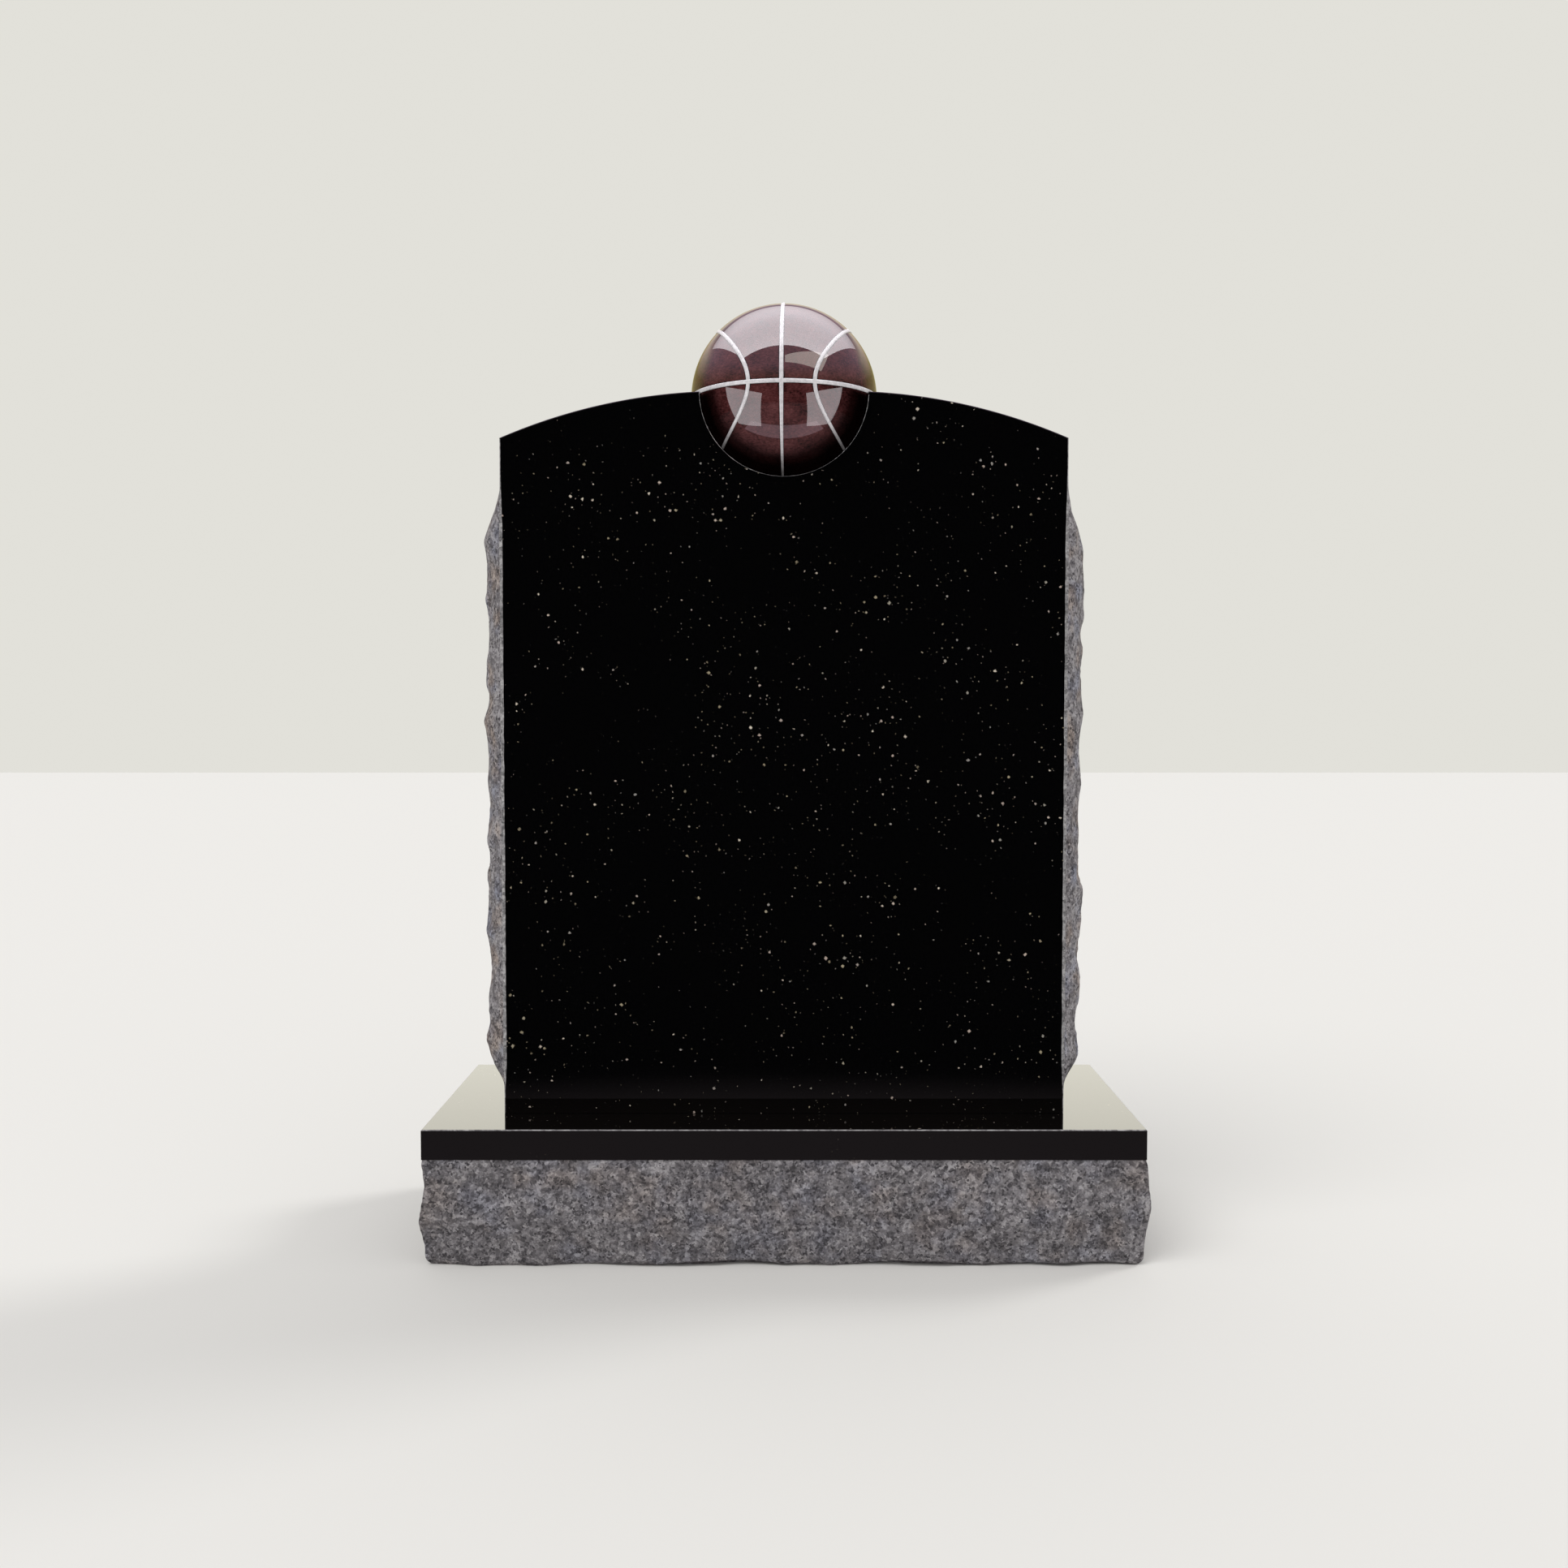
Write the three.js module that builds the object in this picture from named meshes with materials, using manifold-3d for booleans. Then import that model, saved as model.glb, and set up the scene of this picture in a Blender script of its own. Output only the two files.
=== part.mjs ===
// A granite headstone: an arched tablet with rock-pitched edges stands on a wider base, and a
// seamed ball is nested in a round socket in the tablet's crown.
//
// Millimetres, +Z up. The polished front looks towards -Y, and the origin is the middle of the
// base's underside.

import * as THREE from 'three';
import { mergeVertices } from 'three/addons/utils/BufferGeometryUtils.js';
import Module from 'manifold-3d';

// Base
const baseLength = 762;
const baseDepth = 305;
const baseHeight = 146;
const baseMargin = 32; // polished band round the top, above the rock pitch
const baseLip = 0.8; // step back from the band to the rock pitch under it
const lipFade = 28; // height below the band over which the rock pitch comes up to its full depth
const baseSwell = 7; // how far the rock pitch swells out at half its height
const footDraw = 4; // how far the rock pitch draws in at the floor
const footRound = 9; // height over which it draws in
const cornerChip = 1.5; // how far the corners of the rock pitch are knocked back
const cornerReach = 14; // distance from a corner over which that fades

// Tablet
const tabletWidth = 610;
const tabletThickness = 102;
const tabletHeight = 781; // from the base's top to the crown
const tabletSetback = 67; // the tablet's face, behind the base's front edge
const crownRise = 50; // from the shoulders to the crown
const crownFlat = 123; // level length in the middle of the crown, between its two arcs
const sawnFoot = 18; // flush height at the foot of each side, below the rock pitch
const sawnHead = 31; // flush height at the top of each side, above the rock pitch
const footRamp = 38; // height over which the rock pitch grows from the sawn foot
const headRamp = 80; // height over which it dies away to the sawn head
const pitchBulge = 27; // how far the rock-pitched sides stand out at half the thickness
const pitchSquareness = 2.4; // 2 gives the sides a parabola for a section, and more a squarer one
const pitchArris = 2; // the worn line between the polished face and the rock pitch

// Ball
const ballRadius = 102;
const ballTurn = -1.6; // degrees about the vertical
const seamWidth = 4.4;
const seamHeight = 1; // how far the seams stand proud of the ball
const seamRoot = 2.5; // how far they reach down into it
const sideSeamReach = 0.94; // front-to-back half-length of a side seam, as a share of the radius
const sideSeamRise = 0.7; // its half-height, as a share of the radius

// Clearances
const settingGap = 0.3; // between the tablet's foot and the base
const seatGap = 0.3; // between the ball's seams and the socket
const ledgeGap = 1; // between the tablet's foot and the ledges of the base round it

// Finish
const arris = 1; // flat taken off the polished edges
const scoopPitch = 62; // spacing of the hollows struck in the rock pitch
const scoopDepth = 4; // difference between the shallowest and the deepest of them
const scoopRadius = 160; // radius of their hollow
const scoopJitter = 0.7; // how far they stray from an even grid, as a share of its spacing
const baseSalts = [0, 10, 20, 30]; // each gives a side its own scoops: front, right, back, left
const rightSalt = 50;
const leftSalt = 60;
const facet = 20; // size of a facet on the rock pitch
const crownSteps = 12; // facets along each of the crown's arcs
const ballSteps = 40; // facets round the ball
const seamSteps = 48; // facets along a seam

const black = { color: 0x0d0c0e, roughness: 0.06, metalness: 0 };
const grey = { color: 0x7c797b, roughness: 0.85, metalness: 0 };
const russet = { color: 0x552c2d, roughness: 0.22, metalness: 0 };

const wasm = await Module();
wasm.setup();

// A closed geometry as a solid that can be joined and cut
function solidOf(geometry) {
  const shell = geometry.clone();
  shell.deleteAttribute('normal');
  shell.deleteAttribute('uv');
  const merged = mergeVertices(shell, 1e-4);
  return new wasm.Manifold(new wasm.Mesh({
    numProp: 3,
    vertProperties: Float32Array.from(merged.attributes.position.array),
    triVerts: Uint32Array.from(merged.index.array),
  }));
}

// The solid's faces as a geometry again
function geometryOf(solid) {
  const mesh = solid.getMesh();
  const geometry = new THREE.BufferGeometry();
  geometry.setAttribute('position', new THREE.BufferAttribute(mesh.vertProperties, 3));
  geometry.setIndex(new THREE.BufferAttribute(mesh.triVerts, 1));
  geometry.computeVertexNormals();
  return geometry;
}

function pieceNamed(name, geometry, finish) {
  const piece = new THREE.Mesh(geometry, new THREE.MeshStandardMaterial(finish));
  piece.name = name;
  return piece;
}

// Joins rings with the same number of points into one surface. Each ring closes on itself, and
// the rings follow each other anticlockwise as seen from the last one. The two ends are closed
// by flat fans, or, on a hoop, the last ring is joined to the first.
function surfaceThrough(rings, hoop = false) {
  const count = rings[0].length;
  const points = rings.flat();
  const faces = [];
  const spans = hoop ? rings.length : rings.length - 1;
  for (let r = 0; r < spans; r++) {
    const low = r * count;
    const high = ((r + 1) % rings.length) * count;
    for (let i = 0; i < count; i++) {
      const next = (i + 1) % count;
      faces.push(low + i, low + next, high + next, low + i, high + next, high + i);
    }
  }
  if (!hoop) {
    const last = (rings.length - 1) * count;
    const lowMiddle = points.push(middleOf(rings[0])) - 1;
    const highMiddle = points.push(middleOf(rings.at(-1))) - 1;
    for (let i = 0; i < count; i++) {
      const next = (i + 1) % count;
      faces.push(lowMiddle, next, i, highMiddle, last + i, last + next);
    }
  }
  const geometry = new THREE.BufferGeometry().setFromPoints(points);
  geometry.setIndex(faces);
  geometry.computeVertexNormals();
  return geometry;
}

function middleOf(ring) {
  const box = new THREE.Box3().setFromPoints(ring);
  return box.getCenter(new THREE.Vector3());
}

// Evenly spaced numbers from start to end, with both ends
function spread(start, end, steps) {
  return Array.from({ length: steps + 1 }, (_, i) => start + ((end - start) * i) / steps);
}

// A cell's own number between 0 and 1, the same on every run
function chance(column, row, salt) {
  const wave = Math.sin(column * 127.1 + row * 311.7 + salt * 74.7) * 43758.5453;
  return wave - Math.floor(wave);
}

// How deep the rock pitch is struck at a point along and up a face. Each cell of a jittered
// grid holds one scoop, a shallow paraboloid, and the deepest scoop counts, so that they meet
// in ridges. The result runs from 0 on the ridges to twice scoopDepth in the hollows.
function strike(along, up, salt) {
  const column = Math.floor(along / scoopPitch);
  const row = Math.floor(up / scoopPitch);
  let deepest = 0;
  for (const i of [column - 1, column, column + 1]) {
    for (const j of [row - 1, row, row + 1]) {
      const middleAlong = (i + 0.5 + scoopJitter * (chance(i, j, salt) - 0.5)) * scoopPitch;
      const middleUp = (j + 0.5 + scoopJitter * (chance(i, j, salt + 1) - 0.5)) * scoopPitch;
      const away = (along - middleAlong) ** 2 + (up - middleUp) ** 2;
      const depth = scoopDepth * (1 + chance(i, j, salt + 2)) - away / (2 * scoopRadius);
      deepest = Math.max(deepest, depth);
    }
  }
  return deepest;
}

// Base: level rings from the floor up. The rock pitch swells out at half its height, draws in
// at the floor, and stops at a small step under the polished band.

const bandFoot = baseHeight - baseMargin;
const tabletY = -baseDepth / 2 + tabletSetback + tabletThickness / 2;

// The base's sides from the front one anticlockwise, seen from above. Each starts at its corner
// and runs along one direction, with its outward direction to the right of that.
const baseSides = [[-1, -1], [1, -1], [1, 1], [-1, 1]].map(([x, y], k) => {
  const along = new THREE.Vector2(1, 0).rotateAround(new THREE.Vector2(), (k * Math.PI) / 2);
  return {
    corner: new THREE.Vector2((x * baseLength) / 2, (y * baseDepth) / 2),
    along,
    outward: new THREE.Vector2(along.y, -along.x),
    length: k % 2 === 0 ? baseLength : baseDepth,
    salt: baseSalts[k],
  };
});

// How far the rock pitch of a side stands out from the polished band above it
function rockOut(side, along, z) {
  const swell = baseSwell * Math.sin((Math.PI * z) / bandFoot);
  const draw = footDraw * Math.max(0, 1 - z / footRound) ** 2;
  const chip = cornerChip * Math.exp(-Math.min(along, side.length - along) / cornerReach);
  const struck = strike(along, z, side.salt) + chip;
  return swell - baseLip - draw - struck * Math.min(1, (bandFoot - z) / lipFade);
}

// A level ring round the base, pushed out by outAt(side, along). A side's points are spread
// between the corners that its neighbours leave it.
function baseRing(z, outAt) {
  return baseSides.flatMap((side, k) => {
    const before = baseSides.at(k - 1);
    const after = baseSides[(k + 1) % baseSides.length];
    const startSlide = -outAt(before, before.length);
    const endSlide = outAt(after, 0);
    return spread(0, 1, Math.round(side.length / facet)).slice(0, -1).map((share) => {
      const along = share * side.length;
      const place = side.corner.clone()
        .addScaledVector(side.along, along + THREE.MathUtils.lerp(startSlide, endSlide, share))
        .addScaledVector(side.outward, outAt(side, along));
      return new THREE.Vector3(place.x, place.y, z);
    });
  });
}

// The base's top is divided by a ring round the tablet's foot. The ledges lie outside it.
function footprintRing() {
  const acrossTop = baseLength - 2 * arris;
  const deepTop = baseDepth - 2 * arris;
  return baseRing(baseHeight, () => -arris).map((point) => new THREE.Vector3(
    (point.x * (tabletWidth + 2 * ledgeGap)) / acrossTop,
    tabletY + (point.y * (tabletThickness + 2 * ledgeGap)) / deepTop,
    baseHeight,
  ));
}

function baseGeometry() {
  const levels = [0, ...spread(footRound, bandFoot, Math.round((bandFoot - footRound) / facet))];
  return surfaceThrough([
    ...levels.map((z) => baseRing(z, (side, along) => rockOut(side, along, z))),
    baseRing(bandFoot, () => 0),
    baseRing(baseHeight - arris, () => 0),
    baseRing(baseHeight, () => -arris),
    footprintRing(),
  ]);
}

// Tablet: upright rings from the back to the front. Its own frame is the middle of its foot.

const shoulderHeight = tabletHeight - crownRise;
const crownRun = (tabletWidth - crownFlat) / 2;
const crownRadius = (crownRun ** 2 + crownRise ** 2) / (2 * crownRise);
const ballHeight = tabletHeight; // half of the ball stands above the crown

// From 0 on the sawn ends of a side to 1 along the rock pitch between them
function pitchShare(z) {
  const fromFoot = (z - sawnFoot) / footRamp;
  const fromHead = (shoulderHeight - sawnHead - z) / headRamp;
  return THREE.MathUtils.smoothstep(Math.min(fromFoot, fromHead), 0, 1);
}

// How far a side stands out at a height and a depth: nothing at the two faces, most between
function pitchOut(y, z, salt) {
  const profile = 1 - Math.abs((2 * y) / tabletThickness) ** pitchSquareness;
  return pitchShare(z) * profile * (pitchBulge - strike(z, y, salt));
}

// The tablet's outline at a depth y, set in from its edges: up the right side, over the crown,
// down the left side and back along the foot.
function tabletRing(y, inset) {
  const rows = spread(sawnFoot, shoulderHeight - sawnHead, Math.round(shoulderHeight / facet));
  const radius = crownRadius - inset;
  const halfWidth = tabletWidth / 2 - inset;
  const lean = Math.asin((halfWidth - crownFlat / 2) / radius);
  const sidePoints = (side, salt) => [0, ...rows].map((z) => {
    const worn = inset > 0 ? pitchArris * pitchShare(z) : 0;
    return new THREE.Vector3(side * (halfWidth - worn + pitchOut(y, z, salt)), y, z);
  });
  const arc = spread(lean, 0, crownSteps).map((angle) => new THREE.Vector3(
    crownFlat / 2 + radius * Math.sin(angle),
    y,
    tabletHeight - crownRadius + radius * Math.cos(angle),
  ));
  const farArc = arc.map((point) => new THREE.Vector3(-point.x, y, point.z)).reverse();
  return [...sidePoints(1, rightSalt), ...arc, ...farArc, ...sidePoints(-1, leftSalt).reverse()];
}

function tabletGeometry() {
  const face = tabletThickness / 2;
  const depths = spread(face - arris, arris - face, Math.round(tabletThickness / facet) + 1);
  const block = surfaceThrough([
    tabletRing(face, arris),
    ...depths.map((y) => tabletRing(y, 0)),
    tabletRing(-face, arris),
  ]);
  return geometryOf(solidOf(block).subtract(solidOf(socketGeometry())));
}

// The socket's facets lie outside the sphere that clears the ball's seams
function socketGeometry() {
  const clear = ballRadius + seamHeight + seatGap;
  const corners = clear / Math.cos(Math.PI / ballSteps) ** 2;
  const socket = new THREE.SphereGeometry(corners, ballSteps, ballSteps / 2);
  socket.rotateX(Math.PI / 2);
  socket.translate(0, 0, ballHeight);
  return socket;
}

// Ball: its own frame is its centre, with its front towards -Y and two side seams round the
// ends of X.

// A closed seam on the ball: a band of seamWidth along the line that the direction draws
function seamGeometry(directionAt) {
  const rings = spread(0, 2 * Math.PI, seamSteps).slice(0, -1).map((turn) => {
    const out = directionAt(turn);
    const ahead = directionAt(turn + 0.01).sub(directionAt(turn - 0.01));
    const across = new THREE.Vector3().crossVectors(ahead, out).setLength(seamWidth / 2);
    const corner = (height, side) => out.clone()
      .setLength(ballRadius + height)
      .addScaledVector(across, side);
    return [corner(-seamRoot, 1), corner(-seamRoot, -1), corner(seamHeight, -1), corner(seamHeight, 1)];
  });
  return surfaceThrough(rings, true);
}

function ballGeometry() {
  const sphere = new THREE.SphereGeometry(ballRadius, ballSteps, ballSteps / 2);
  sphere.rotateX(Math.PI / 2);
  const upright = (turn) => new THREE.Vector3(0, -Math.cos(turn), Math.sin(turn));
  const level = (turn) => new THREE.Vector3(Math.cos(turn), Math.sin(turn), 0);
  const sideSeam = (end) => (turn) => {
    const y = sideSeamReach * Math.cos(turn);
    const z = sideSeamRise * Math.sin(turn);
    return new THREE.Vector3(end * Math.sqrt(1 - y ** 2 - z ** 2), y, z);
  };
  const seams = [upright, level, sideSeam(1), sideSeam(-1)].map((seam) => seamGeometry(seam));
  return geometryOf(seams.reduce((ball, seam) => ball.add(solidOf(seam)), solidOf(sphere)));
}

const headstone = new THREE.Group();

const base = pieceNamed('base', baseGeometry(), grey);
headstone.add(base);

const upper = new THREE.Group();
upper.position.set(0, tabletY, baseHeight + settingGap);
headstone.add(upper);

const tablet = pieceNamed('tablet', tabletGeometry(), black);
upper.add(tablet);

const ball = pieceNamed('ball', ballGeometry(), russet);
ball.position.z = ballHeight;
ball.rotation.z = THREE.MathUtils.degToRad(ballTurn);
upper.add(ball);

export default headstone;
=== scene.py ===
"""A granite headstone: an arched tablet with a polished black face and rock-pitched grey sides
stands on a rock-pitched base, with a dark red ball nested in a socket in its crown.

Shapes are worked out in millimetres in the solids' frame, +Z up and the face towards -Y, and
become metres when their mesh is made.
"""

import math

import bpy
import numpy as np
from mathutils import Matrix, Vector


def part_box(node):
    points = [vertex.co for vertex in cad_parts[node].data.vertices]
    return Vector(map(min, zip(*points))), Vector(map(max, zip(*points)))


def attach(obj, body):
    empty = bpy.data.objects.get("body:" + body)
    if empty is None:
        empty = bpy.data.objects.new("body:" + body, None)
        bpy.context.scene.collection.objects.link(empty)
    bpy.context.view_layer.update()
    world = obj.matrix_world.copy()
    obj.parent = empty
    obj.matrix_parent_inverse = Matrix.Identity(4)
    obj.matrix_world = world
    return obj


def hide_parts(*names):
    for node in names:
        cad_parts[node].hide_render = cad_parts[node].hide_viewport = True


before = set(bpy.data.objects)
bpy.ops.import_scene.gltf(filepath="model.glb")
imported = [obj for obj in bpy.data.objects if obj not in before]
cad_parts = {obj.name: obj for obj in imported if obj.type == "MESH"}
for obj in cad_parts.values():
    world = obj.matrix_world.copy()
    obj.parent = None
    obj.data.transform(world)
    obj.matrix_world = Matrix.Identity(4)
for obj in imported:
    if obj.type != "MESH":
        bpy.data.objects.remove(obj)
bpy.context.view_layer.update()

MM = 0.001

# Base
BASE_LENGTH = 762
BASE_DEPTH = 305
BASE_HEIGHT = 146
BASE_MARGIN = 32  # polished band above the rock pitch
BASE_LIP = 0.8
LIP_FADE = 28
BASE_SWELL = 7
FOOT_DRAW = 4
FOOT_ROUND = 9
CORNER_CHIP = 1.5
CORNER_REACH = 14
CORNER_UNEVENNESS = 0.35  # part by which the reach of a corner's chips varies
CORNER_WAVE = 22  # size of the noise that varies it
FOOT_LIFT = 5  # how high the broken lower edge stands off the ground at most
FOOT_CUT = 6  # how far that edge is cut back
FOOT_CUT_HEIGHT = 1.2  # height in which the cut reaches its depth
FOOT_WAVE = 70  # size of the noise that lifts the edge
BAND_CLEAN_EDGE = 5  # height below the band in which the fine relief dies out
BASE_SALTS = (0, 10, 20, 30)

# Tablet
TABLET_WIDTH = 610
TABLET_THICKNESS = 102
TABLET_HEIGHT = 781
TABLET_SETBACK = 67
CROWN_RISE = 50
CROWN_FLAT = 123
SAWN_FOOT = 18
SAWN_HEAD = 31
FOOT_RAMP = 38
HEAD_RAMP = 80
PITCH_BULGE = 27
PITCH_SQUARENESS = 2.4
PITCH_ARRIS = 2
ARRIS_WAVE = 9  # size of the noise that wears the arrises unevenly
RIGHT_SALT = 50
LEFT_SALT = 60
CROWN_POINTS = 61
SOCKET_POINTS = 49

# Ball
BALL_RADIUS = 102
BALL_TURN = -1.6  # degrees about the vertical
SEAM_WIDTH = 4.4
SEAM_HEIGHT = 1
SEAM_ROOT = 2.5
SEAM_ROUNDNESS = 0.6
SEAM_TAPER = 0.5
SEAM_STEP = 0.03  # how much lower each seam is than the one before, where they cross
SIDE_SEAM_REACH = 0.94
SIDE_SEAM_RISE = 0.7
SEAM_SHADOW = 0.8  # width of the painted shadow line beside a seam
BALL_RINGS = 141
BALL_STEPS = 200
SEAM_STEPS = 360
SEAM_ARC_STEPS = 9
SOCKET_SHADE_DEPTH = 32  # depth in front of the face in which the socket's shade fades
CROWN_SHADE_FOOT = -9  # height over the ball's middle from which it fades upwards
CROWN_SHADE_HEIGHT = 8  # height in which it fades

SETTING_GAP = 0.3
SEAT_GAP = 0.5
ARRIS = 1

# Large hollows of the rock pitch
SCOOP_PITCH = 62
SCOOP_DEPTH = 4
SCOOP_RADIUS = 160
SCOOP_JITTER = 0.7
RIDGE_SOFTNESS = 0.35

# Finer relief: flakes by pitch, depth and radius, and grain by size and height
FLAKES = ((25, 2.4, 40), (11, 0.8, 14))
BROAD_FLAKES = (38, 5.5, 45)
GRAIN = ((12, 0.42), (6, 0.24), (3, 0.16))
FINE_MIDDLE = 1.4  # part of the fine relief that stands above the large hollows' surface
FLAKE_MIDDLE = 1.6  # the same of the broad flakes on the tablet's sides
GRAIN_STEP = 2.0  # spacing of the points on the rock pitch
SIDE_APART = 400  # distance in the noise between the tablet's two sides
SIDE_STOP = 1.5  # how far below the shoulder a side's last points lie

# Seeds of the finer relief
CORNER_SEED = 90
FOOT_SEED = 91
ARRIS_SEED = 92
BASE_SEED = 100
TABLET_SEED = 200
BROAD_FLAKE_SEED = 240

# Places of the finishes in a piece's own list
BROKEN, POLISHED, EDGE, SOCKET_EDGE = range(4)
BALL_STONE, SEAM_WHITE = range(2)

# Degrees between two faces from which the edge between them stays sharp
ROCK_CREASE = 38
BALL_CREASE = 50

# Camera
CAMERA_PLACE = (0, -1.7575, 0.58)
CAMERA_TILT = 2.53  # degrees below level
LENS_LENGTH = 35.53
SENSOR_WIDTH = 36

BAND_FOOT = BASE_HEIGHT - BASE_MARGIN
SHOULDER = TABLET_HEIGHT - CROWN_RISE
CROWN_RUN = (TABLET_WIDTH - CROWN_FLAT) / 2
CROWN_RADIUS = (CROWN_RUN**2 + CROWN_RISE**2) / (2 * CROWN_RISE)
TABLET_Y = -BASE_DEPTH / 2 + TABLET_SETBACK + TABLET_THICKNESS / 2
TABLET_FOOT = BASE_HEIGHT + SETTING_GAP
BALL_CENTRE = np.array([0, TABLET_Y, TABLET_FOOT + TABLET_HEIGHT])


# Relief of broken stone


def chance(column, row, salt):
    """The solids' own number from 0 to 1 for a cell: what is left of a large sine when its
    whole part is taken off."""
    wave = np.sin(column * 127.1 + row * 311.7 + salt * 74.7) * 43758.5453
    return wave - np.floor(wave)


def strike(along, up, salt):
    """Depth of the large hollows. Each cell of a jittered grid holds a paraboloid, and the
    deepest counts, by the logarithm of the sum of their exponentials, which rounds the ridges
    where they meet."""
    column, row = np.floor(along / SCOOP_PITCH), np.floor(up / SCOOP_PITCH)
    total = np.ones(np.broadcast(along, up).shape)
    for step_along, step_up in np.ndindex(3, 3):
        i, j = column + step_along - 1, row + step_up - 1
        middle_along = (i + 0.5 + SCOOP_JITTER * (chance(i, j, salt) - 0.5)) * SCOOP_PITCH
        middle_up = (j + 0.5 + SCOOP_JITTER * (chance(i, j, salt + 1) - 0.5)) * SCOOP_PITCH
        away = (along - middle_along) ** 2 + (up - middle_up) ** 2
        depth = SCOOP_DEPTH * (1 + chance(i, j, salt + 2)) - away / (2 * SCOOP_RADIUS)
        total += np.exp(depth / RIDGE_SOFTNESS)
    return RIDGE_SOFTNESS * np.log(total)


def cell_number(cell, seed):
    """A number from 0 to 1 for each whole-numbered cell of a cubic lattice, by mixing the
    bits of its three numbers and the seed."""
    x, y, z = (cell[..., axis].astype(np.int64).astype(np.uint64) for axis in range(3))
    mask = np.uint64(0xFFFFFFFF)
    mixed = (x * np.uint64(73856093)) ^ (y * np.uint64(19349663)) ^ (z * np.uint64(83492791))
    mixed = (mixed + np.uint64(seed * 2654435761)) & mask
    mixed = ((mixed ^ (mixed >> np.uint64(15))) * np.uint64(2246822519)) & mask
    mixed = ((mixed ^ (mixed >> np.uint64(13))) * np.uint64(3266489917)) & mask
    return (mixed ^ (mixed >> np.uint64(16))) / float(0xFFFFFFFF)


def smooth_noise(points, size, seed):
    """Noise from -1 to 1: the numbers of a cubic lattice, size apart, blended along each axis
    by three times the square of the part less twice its cube."""
    place = points / size
    cell = np.floor(place)
    part = place - cell
    part = part * part * (3 - 2 * part)
    total = np.zeros(points.shape[:-1])
    for corner in np.ndindex(2, 2, 2):
        weight = np.prod(np.where(np.array(corner) == 1, part, 1 - part), axis=-1)
        total += weight * cell_number(cell + np.array(corner), seed)
    return 2 * total - 1


def flakes(points, pitch, depth, radius, seed):
    """Depth of small flakes broken off: the deepest of the paraboloids that the cells of a
    jittered cubic lattice hold, or nothing where none reaches."""
    cell = np.floor(points / pitch)
    deepest = np.zeros(points.shape[:-1])
    for step in np.ndindex(3, 3, 3):
        near = cell + np.array(step) - 1
        jitter = np.stack([cell_number(near, seed + axis) for axis in range(3)], axis=-1)
        away = np.sum((points - (near + 0.15 + 0.7 * jitter) * pitch) ** 2, axis=-1)
        own = depth * (0.3 + 0.7 * cell_number(near, seed + 3)) - away / (2 * radius)
        deepest = np.maximum(deepest, own)
    return deepest


def fine_relief(points, seed):
    """How far the broken grain lies under the large hollows: the sum of flakes of two sizes and
    of noise of three sizes, which is lower where it is finer. It is never less than nothing."""
    depth = np.zeros(points.shape[:-1])
    for step, (pitch, deepest, radius) in enumerate(FLAKES):
        depth += flakes(points, pitch, deepest, radius, seed + 10 * step)
    for step, (size, height) in enumerate(GRAIN):
        depth += height * (1 + smooth_noise(points, size, seed + 20 + step))
    return depth


# Meshes


def skin(rings, hoop=False):
    """Faces through rings of equally many points: a quad between each two neighbours on two
    neighbouring rings, and, unless the rings close on themselves, one flat face on each end."""
    ring_count, count = rings.shape[:2]
    spans = ring_count if hoop else ring_count - 1
    low = (np.arange(spans) * count)[:, None]
    high = ((np.arange(spans) + 1) % ring_count * count)[:, None]
    here = np.arange(count)[None, :]
    following = (here + 1) % count
    quads = np.stack([low + here, low + following, high + following, high + here], axis=-1)
    faces = quads.reshape(-1, 4).tolist()
    if not hoop:
        faces.append(list(range(count - 1, -1, -1)))
        faces.append(list(range((ring_count - 1) * count, ring_count * count)))
    return faces


def within_solid(points, node):
    """The points kept inside the box of the solid that they stand for."""
    lowest, highest = (np.array(corner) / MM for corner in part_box(node))
    return np.clip(points, lowest, highest)


def piece_from(name, points, faces, finishes, finish_of_face, node, sharp_degrees):
    """A piece of the headstone as one mesh in metres, with a finish for each face."""
    mesh = bpy.data.meshes.new(name)
    mesh.from_pydata((within_solid(points, node) * MM).tolist(), [], faces)
    for finish in finishes:
        mesh.materials.append(finish)
    mesh.polygons.foreach_set("material_index", finish_of_face.astype(np.int32))
    mesh.update()
    mesh.set_sharp_from_angle(angle=math.radians(sharp_degrees))
    mesh.polygons.foreach_set("use_smooth", np.array([len(face) == 4 for face in faces]))
    piece = bpy.data.objects.new(name, mesh)
    bpy.context.scene.collection.objects.link(piece)
    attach(piece, "root")
    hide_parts(node)
    return piece


# Base

SIDE_LENGTHS = (BASE_LENGTH, BASE_DEPTH, BASE_LENGTH, BASE_DEPTH)
SIDE_CORNERS = np.array([[-1, -1], [1, -1], [1, 1], [-1, 1]]) * [BASE_LENGTH / 2, BASE_DEPTH / 2]
SIDE_ALONG = np.array([[1, 0], [0, 1], [-1, 0], [0, -1]])
SIDE_OUTWARD = np.array([[0, -1], [1, 0], [0, 1], [-1, 0]])


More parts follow.
